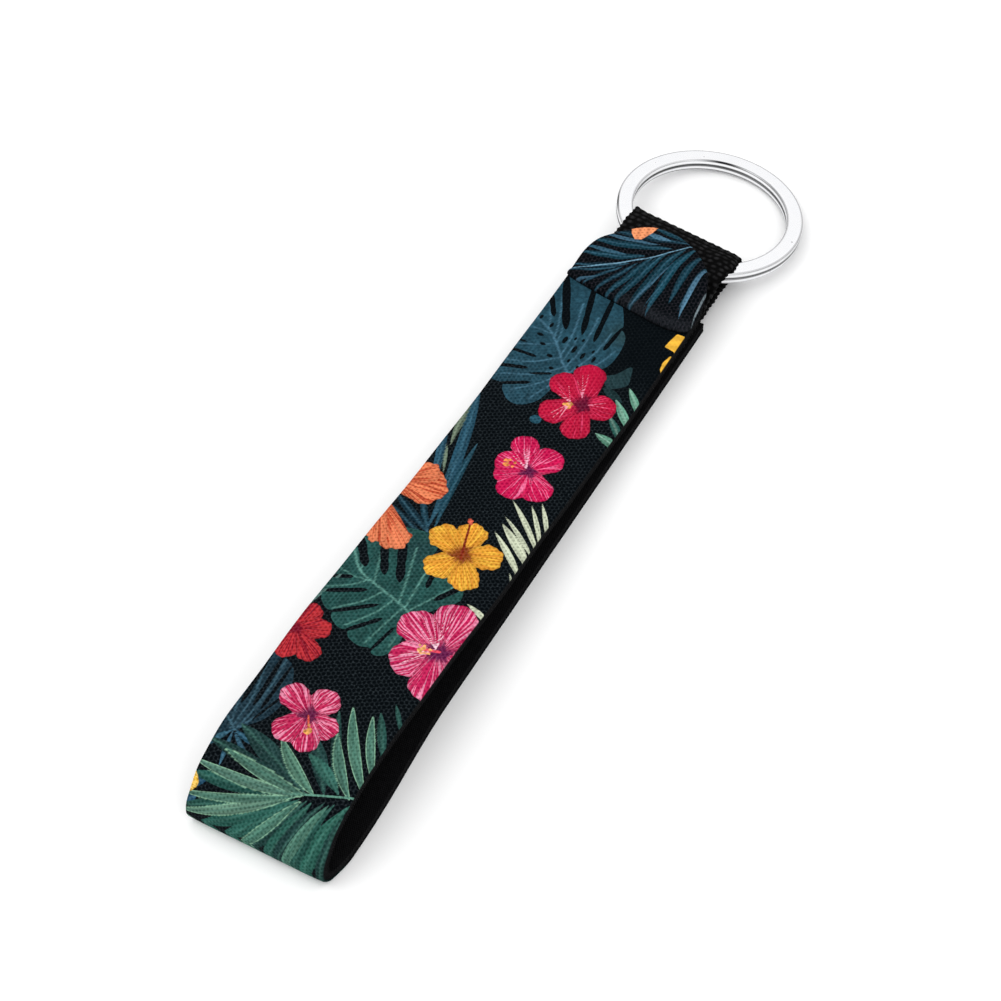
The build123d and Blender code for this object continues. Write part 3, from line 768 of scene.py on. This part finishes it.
def strap_points(u, distance, depth):
    """Points at a depth under the strap's outside. The soft laminate rolls off a little at its long edges and
    dips and swells along its length, except where it lies on the table or is held by the end's seams."""
    side = u / (STRAP_WIDTH / 2)
    sag = -0.20 * np.abs(side) ** 5
    swell = 0.07 * np.sin(distance / 8.5 + 0.10 * u) + 0.05 * np.sin(distance / 4.1 - 0.22 * u + 1)
    on_front = 1 - smooth(distance, TIP_DISTANCE - 2, TIP_DISTANCE + 8)
    free = smooth(distance, 8, 20) * on_front
    rise = sag * on_front + swell * free
    # the sewn box presses into the outside of the back panel
    back = strap.length - distance
    pressed = 0.17 * (smooth(back, 0.2, 0.6) - smooth(back, 5.4, 6.2)) * (1 - smooth(np.abs(u), 9.3, 10.2))
    pressed = pressed * (depth < 0.2)
    place = strap.at(distance) - strap.left(distance) * (rise - depth - pressed)[..., None]
    edge_wave = 0.10 * np.sin(distance / 11 + np.sign(u)) + 0.05 * np.sin(distance / 3.7)
    drawn_in = -0.45 * (1 - smooth(distance, 0, 3.5))
    # the fold isn't quite square, so the back panel lies a little to the right after it
    after_fold = distance - TIP_DISTANCE
    shifted = 1.3 * smooth(after_fold, 0, 9) * (1 - smooth(after_fold, 12, 42))
    return np.stack([u + (edge_wave * free + drawn_in) * side + shifted, place[..., 0], place[..., 1]], -1)


def strap_layer(name, outer, inner, rows, columns, material, bevel=0.1, inset=0.0):
    """One closed layer of the strap between two depths, with its fine points on the outer side.
    Returns the piece, with every point's place on the cloth and how far it is on a cut face."""
    half = STRAP_WIDTH / 2 - inset
    across = np.linspace(-half, half, columns)
    u, distance = np.meshgrid(across, rows)
    depth = np.full_like(u, outer)
    depth[:, [0, -1]] += bevel
    u_in, distance_in = np.meshgrid([half, -half], rows)
    depth_in = np.full_like(u_in, inner)
    points = np.concatenate([strap_points(u, distance, depth), strap_points(u_in, distance_in, depth_in)], 1)
    around = columns + 2
    faces = [face[::-1] for face in tube_faces(len(rows), around)]
    piece = make_piece(name, points.reshape(-1, 3), faces, material, sharp=60)
    u_all = np.concatenate([u, u_in], 1).ravel()
    v_all = np.concatenate([distance, distance_in], 1).ravel() - HEM_DISTANCE
    cut = np.concatenate([np.zeros_like(u), np.ones_like(u_in)], 1).ravel()
    keep(piece, "place", flat_places(u_all, v_all))
    return piece, u_all, v_all, cut


PAST_TIP = TIP_DISTANCE + 2
fine_rows = np.concatenate([np.arange(0, PAST_TIP, 0.27), np.arange(PAST_TIP, strap.length - 0.3, 0.5), [strap.length]])
soft_rows = np.concatenate([np.arange(0, strap.length - 0.5, 0.9), [strap.length]])

cloth, cloth_u, cloth_v, cloth_cut = strap_layer(
    "strap_printed_cloth", 0.0, FACE_THICKNESS, fine_rows, 103, printed_cloth("printed_cloth", flat_ink(120, 134, 142)))
seen_v = np.where(cloth_v > TIP_V, 2 * TIP_V - cloth_v, cloth_v)
strap_print = Print(cloth_u, seen_v)
print_strap(strap_print)
bare = 12 * smooth(np.abs(cloth_u), 11.0, 11.7) * smooth(cloth_v, TIP_V + 6, TIP_V + 14)
for layer in LAYERS:
    strap_print.edge[layer] -= bare
strap_print.finish(cloth)
keep(cloth, "cut", cloth_cut)
keep(cloth, "brushed_and_lit", np.zeros_like(cloth_cut))
keep(cloth, "knit", 0.25 + 0.75 * smooth(seen_v, 10, 26))

foam, *_ = strap_layer("strap_foam", FACE_THICKNESS, FACE_THICKNESS + CORE_THICKNESS, soft_rows, 31, black_foam(),
                       bevel=0.0, inset=0.06)
lining, *_ = strap_layer("strap_jersey_lining", LAMINATE, FACE_THICKNESS + CORE_THICKNESS, soft_rows, 41,
                         black_lining(), bevel=0.0, inset=0.02)


# ---- the end cover: a padded patch, domed towards its middle and rolled under at its hem ----
def hem_line(x):
    """The y of the cover's hem, from left to right."""
    return np.interp(x, *np.transpose(COVER_OUTLINE[1:8]))


def end_cover():
    outline = spline(COVER_OUTLINE, 18)
    under = bent_line(COVER_UNDERSIDE, [6.0, 6.0])

    def underside(plan):
        return np.interp(plan[:, 1], under[:, 0], under[:, 1])

    middle = np.array([0.3, 68.0])
    reach = np.linalg.norm(outline - middle, axis=1)
    inward = np.concatenate([[0.0, 0.06, 0.16, 0.30, 0.48, 0.70], np.arange(0.96, 11.5, 0.26)]) / 11.8
    rings = [middle + (outline - middle) * (1 - step) for step in inward]
    plan = np.concatenate(rings)
    depth_in = (inward[:, None] * reach[None, :]).ravel()
    floor = underside(plan)
    roll = 0.95
    edge = np.clip(depth_in / roll, 0, 1)
    thick = roll * np.sqrt(np.clip(1 - (1 - edge) ** 2, 0, 1)) + 0.62 * (1 - np.exp(-depth_in / 3.0))
    wrinkle = 0.05 * np.sin(plan[:, 0] * 0.9 + plan[:, 1] * 0.6) + 0.04 * np.sin(plan[:, 0] * 1.7 - plan[:, 1] * 1.1)
    thick = thick + wrinkle * smooth(depth_in, 0.4, 2.5)
    top = np.column_stack([plan, floor + np.maximum(thick, 0.05)])
    bottoms = [middle + (outline - middle) * (1 - step) for step in (0, 0.25, 0.6, 0.9)]
    bottom_plan = np.concatenate(bottoms)
    bottom = np.column_stack([bottom_plan, underside(bottom_plan) + 0.02])
    count = len(outline)
    points = np.concatenate([top, [[*middle, floor[-1] + thick[-1]]], bottom, [[*middle, floor[-1] + 0.02]]])
    crown, base = len(top), len(top) + 1
    faces = grid_faces(len(rings), count, wrap=True)
    last = (len(rings) - 1) * count
    faces += [[last + i, last + (i + 1) % count, crown] for i in range(count)]
    faces += [face[::-1] for face in grid_faces(len(bottoms), count, base, wrap=True)]
    lowest = base + (len(bottoms) - 1) * count
    faces += [[lowest + (i + 1) % count, lowest + i, len(points) - 1] for i in range(count)]
    faces += [[(i + 1) % count, i, base + i, base + (i + 1) % count] for i in range(count)]
    material = printed_cloth("cover_cloth", flat_ink(120, 112, 124))
    piece = make_piece("end_cover_patch", points, faces, material, sharp=75)
    keep(piece, "place", flat_places(points[:, 0] + 3.0, points[:, 1] + 7.0))
    paint = Print(points[:, 0], points[:, 1])
    print_cover(paint)
    paint.finish(piece)
    above = np.concatenate([thick, [thick[-1]], np.full(len(bottom) + 1, -1.0)])
    keep(piece, "cut", 1 - smooth(above, 0.10, 0.45))
    keep(piece, "knit", np.ones(len(points)))
    # painted highlight with a brushed nap along the hem's roll, on its right side only
    band = 1 - smooth(points[:, 1] - hem_line(points[:, 0]), 0.9, 3.0)
    keep(piece, "brushed_and_lit", band * smooth(points[:, 0], -4, 2) * (above > 0) * 0.55)
    return piece


cover = end_cover()


# ---- the webbing: one woven band, folded round the ring's wire and back between the panels ----
def webbing():
    route = Route(bent_line(WEBBING_ROUTE, WEBBING_BENDS))
    pick, bundle, half_width, half_thick, middle_x = 1.12, 1.62, 10.78, 0.46, 1.35
    rows = np.linspace(0, route.length, int(route.length / 0.15))
    columns = 85
    t, distance = np.meshgrid(np.linspace(-1, 1, columns), rows)
    # picks lie across the band; along each one the yarns show as long bars, offset from pick to pick
    count = distance / pick + 0.12 * np.sin(t * 5.3) + 0.08 * np.sin(t * 11.9 + 2)
    step = np.floor(count + 0.5)
    ridge = np.cos(pi * (count - step)) ** 0.6
    side_end = smooth(np.abs(t), 0.86, 1.0)
    at_fold = smooth(distance, 14.0, 24.0) * (1 - smooth(distance, 30.0, 38.0))
    x = t * (half_width + 0.50 * at_fold + 0.09 * side_end * np.cos(2 * pi * count) + 0.07 * np.sin(step * 1.7))
    bars = np.abs(np.cos(pi * (x / bundle + 0.5 * step + 0.17 * np.sin(step * 2.4)))) ** 0.8
    lump = 0.85 + 0.15 * np.sin(np.floor(x / bundle + 0.5 * step) * 2.9 + step * 4.1)
    relief = ridge * (0.22 + 0.78 * bars) * lump
    place, normal = route.at(distance), route.left(distance, 0.5)
    edge = np.sqrt(np.clip(1 - np.abs(t) ** 16, 0, 1))
    free = smooth(place[..., 0], 66.0, 69.5)
    # the wire holds the fold out at the left, and the band sags a little to the right
    pushed = 0.45 * smooth(-t, 0.84, 0.98) * smooth(place[..., 0], 79.5, 82)
    outer = (half_thick + 0.24 * relief * (0.4 + 0.6 * free)) * (0.3 + 0.7 * edge) + pushed
    inner = (half_thick + 0.08 * ridge) * (0.3 + 0.7 * edge) - pushed
    slack = smooth(place[..., 0], 69.5, 74.0)
    centre_x = middle_x + 0.15 * at_fold
    y = place[..., 0] - 0.055 * x * smooth(place[..., 0], 76, 82)
    z = place[..., 1] - 0.035 * x * slack * smooth(place[..., 1], 3.0, 6.0)
    shells = [np.stack([x + centre_x, y + normal[..., 0] * side, z + normal[..., 1] * side], -1)
              for side in (outer, -inner)]
    around = np.concatenate([shells[0], shells[1][:, ::-1]], 1)
    faces = tube_faces(len(rows), 2 * columns)
    piece = make_piece("webbing_band", around.reshape(-1, 3), faces, black_webbing(), sharp=80)
    # the yarns' relief, which the material paints as highlight
    keep(piece, "raised_highlight", np.concatenate([relief, 0.6 * ridge[:, ::-1]], 1).ravel())
    both_sides = [np.concatenate([values, values[:, ::-1]], 1).ravel() for values in (x, distance)]
    keep(piece, "place", flat_places(*both_sides))
    return piece


band = webbing()


# ---- the split ring: one flat wire swept twice round, with a jog from the upper turn to the lower ----
def bell(x, middle, reach):
    return np.exp(-(((x - middle) / reach) ** 2))


def split_ring():
    centre = Vector(RING["pos_m"]) / MM
    axis = Vector(RING["axis"]).normalized()
    across = Vector((1, 0, 0))
    across = (across - axis * across.dot(axis)).normalized()
    ahead = axis.cross(across)
    basis = np.array([across, ahead, axis])
    mid_radius, wire_width, wire_thickness, rise, corner = 16.0, 3.0, 1.14, 0.595, 0.22
    jog, jog_middle, gap = 24.0, 285.0, 1.5  # degrees
    angles = np.linspace(jog / 2 + gap, 720 - jog / 2 - gap, 400)
    part = np.clip((angles - (360 - jog / 2)) / jog, 0, 1)
    level = rise * (1 - 2 * part * part * (3 - 2 * part))
    # the section, with how much painted shade each point gets: dark reflections on its rounded corners, and light walls
    # between them
    corners, dark = [], []
    half_width, half_thick = wire_width / 2, wire_thickness / 2
    for sx, sy, first in ((1, 1, 0), (-1, 1, 90), (-1, -1, 180), (1, -1, 270)):
        for turn in np.radians(np.linspace(first, first + 90, 5)):
            corners.append((sx * (half_width - corner) + corner * cos(turn),
                            sy * (half_thick - corner) + corner * sin(turn)))
            dark.append((sx, sy, 1.0))
        if sx == -sy:
            corners += [(sx * half_width, sy * 0.16), (sx * half_width, -sy * 0.16)]
            dark += [(sx, 0, 0.0)] * 2
        else:
            reach = (half_width - 0.42) * sx
            corners += [(reach, sy * half_thick), (-reach, sy * half_thick)]
            dark += [(0, sy, 0.0)] * 2
    section = np.array(corners)
    rings, shades = [], []
    for index, (angle, height) in enumerate(zip(np.radians(angles + jog_middle), level)):
        spoke = np.array([cos(angle), sin(angle), 0])
        near_end = min(index, len(angles) - 1 - index)
        shrink = 0.86 if near_end == 0 else 1.0
        out, up = mid_radius + section[:, :1] * shrink, height + section[:, 1:] * shrink
        rings.append(spoke * out + np.array([0, 0, 1]) * up)
        upper = height > 0
        around = np.degrees(angle) % 360
        # where the painted dark reflections on the corners are strongest: inner top corner near 106 and 62 degrees,
        # outer corner near 205
        streak = min(1.0, bell(around, 106, 14) + 0.55 * bell(around, 62, 30))
        rim = bell(around, 205, 8)
        for sx, sy, share in dark:
            # painted shade: the corners at the gap between the turns are dark all round, as are the lower turn's inner
            # ones
            groove = (sy < 0) == upper
            if sx < 0:
                shade = 0.85 if groove or not upper else 0.25 + 0.75 * streak
            else:
                shade = 0.75 if groove else 0.35 + 0.6 * rim
            shades.append(share * shade)
    points = np.concatenate(rings) @ basis + np.array(centre)
    piece = make_piece("split_ring_wire", points, tube_faces(len(angles), len(section)), plated_steel(), sharp=40)
    keep(piece, "painted_edge_shade", np.array(shades))
    return piece


ring = split_ring()


# ---- sewing: short stitches that sink into the cloth ----
def stitches(name, node, behind=None):
    """A thread for each of a CAD node's stitches, as a low rounded bar where the node has it, or behind a line."""
    mesh = frame["nodes"][node].data
    links = [set() for _ in mesh.vertices]
    for edge in mesh.edges:
        a, b = edge.vertices
        links[a].add(b)
        links[b].add(a)
    place = np.array([v.co for v in mesh.vertices]) / MM
    keys = {}
    for index, spot in enumerate(np.round(place, 3)):
        keys.setdefault(tuple(spot), []).append(index)
    for same in keys.values():
        for a, b in zip(same, same[1:]):
            links[a].add(b)
            links[b].add(a)
    left, groups = set(range(len(place))), []
    while left:
        group, stack = set(), [left.pop()]
        while stack:
            here = stack.pop()
            group.add(here)
            for other in links[here]:
                if other in left:
                    left.discard(other)
                    stack.append(other)
        groups.append(place[sorted(group)])
    points, faces = [], []
    count, steps, thickest, flatness = 10, 13, 0.21, 0.55
    for group in groups:
        middle = (group.min(0) + group.max(0)) / 2
        flat = group[:, :2] - middle[:2]
        if behind is not None:
            middle[1] = max(middle[1], behind(middle[0]) + 0.9)
        way = np.linalg.eigh(flat.T @ flat)[1][:, 1]
        length = np.abs(flat @ way).max()
        side = np.array([-way[1], way[0]])
        first = len(points)
        for t in np.linspace(-1, 1, steps):
            radius = thickest * rounded_bar(t)
            for turn in np.linspace(0, 2 * pi, count, endpoint=False):
                wide = side * cos(turn) * radius
                points.append([*(middle[:2] + way * t * length + wide), middle[2] + sin(turn) * radius * flatness])
        faces += tube_faces(steps, count, first)
    return make_piece(name, points, faces, black_thread(), sharp=70)


def rounded_bar(t):
    """The half-width of a bar with rounded ends, from -1 to 1."""
    return max(0.25, (1 - abs(t) ** 6) ** 0.5)


box_thread = stitches("webbing_box_thread", "webbing_box_stitches")
hem_thread = stitches("cover_hem_thread", "cover_hem_stitches", behind=hem_line)


# ---- what rides on what ----
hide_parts("strap_printed_face")
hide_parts("strap_foam_core")
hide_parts("strap_lining")
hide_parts("end_cover_face", "end_cover_pad")
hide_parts("webbing_tail", "webbing_eye")
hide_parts("split_ring")
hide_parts("webbing_box_stitches")
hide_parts("cover_hem_stitches")
for piece, slot, body in [
        (cloth, "printed_cloth", "strap"), (foam, "foam", "strap"), (lining, "lining_cloth", "strap"),
        (cover, "printed_cloth", "strap"), (band, "webbing", None), (ring, "plated_steel", "ring"),
        (box_thread, "thread", "strap"), (hem_thread, "thread", "strap")]:
    if body:
        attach(piece, body)
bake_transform(band)


# ---- the studio ----
def studio():
    half = 12.0
    mesh = bpy.data.meshes.new("floor")
    mesh.from_pydata([(-half, -half, 0), (half, -half, 0), (half, half, 0), (-half, half, 0)], [], [(0, 1, 2, 3)])
    floor = bpy.data.objects.new("floor", mesh)
    bpy.context.scene.collection.objects.link(floor)
    n = Nodes("pale_floor")
    n.set(Base_Color=(0.97, 0.97, 0.97, 1), Roughness=0.9, Specular_IOR_Level=0.1)
    mesh.materials.append(n.material)

    world = bpy.data.worlds.new("studio")
    bpy.context.scene.world = world
    world.use_nodes = True
    tree = world.node_tree
    tree.nodes["Background"].inputs["Strength"].default_value = 1.12
    coordinates = tree.nodes.new("ShaderNodeTexCoord")
    height = tree.nodes.new("ShaderNodeSeparateXYZ")
    ramp = tree.nodes.new("ShaderNodeValToRGB")
    tree.links.new(coordinates.outputs["Generated"], height.inputs[0])
    tree.links.new(height.outputs["Z"], ramp.inputs[0])
    tree.links.new(ramp.outputs[0], tree.nodes["Background"].inputs["Color"])
    stops = ramp.color_ramp
    stops.elements[0].position, stops.elements[0].color = 0.02, (0.03, 0.03, 0.03, 1)
    stops.elements[1].position, stops.elements[1].color = 0.55, (1.0, 1.0, 1.0, 1)
    soft = stops.elements.new(0.22)
    soft.color = (0.45, 0.45, 0.46, 1)

    for name, place, power in [("key", (-0.45, -0.35, 0.9), 3.0), ("fill", (0.7, -0.5, 0.55), 1.2)]:
        light = bpy.data.lights.new(name, "AREA")
        light.size, light.energy = 0.8, power
        lamp = bpy.data.objects.new(name, light)
        bpy.context.scene.collection.objects.link(lamp)
        lamp.location = place
        lamp.rotation_euler = (-lamp.location).to_track_quat("-Z", "Y").to_euler()

    data = bpy.data.cameras.new("camera")
    camera = bpy.data.objects.new("camera", data)
    bpy.context.scene.collection.objects.link(camera)
    azimuth, elevation = radians(29.08), radians(51.77)
    back = Vector((sin(azimuth) * cos(elevation), -cos(azimuth) * cos(elevation), sin(elevation)))
    camera.location = (0.14862, -0.25365, 0.38963)
    camera.rotation_euler = (-back).to_track_quat("-Z", "Y").to_euler()
    data.lens, data.sensor_width = 102.65, 36.0
    data.clip_start, data.clip_end = 0.01, 20
    bpy.context.scene.camera = camera
    bpy.context.scene.view_settings.view_transform = "Standard"


studio()
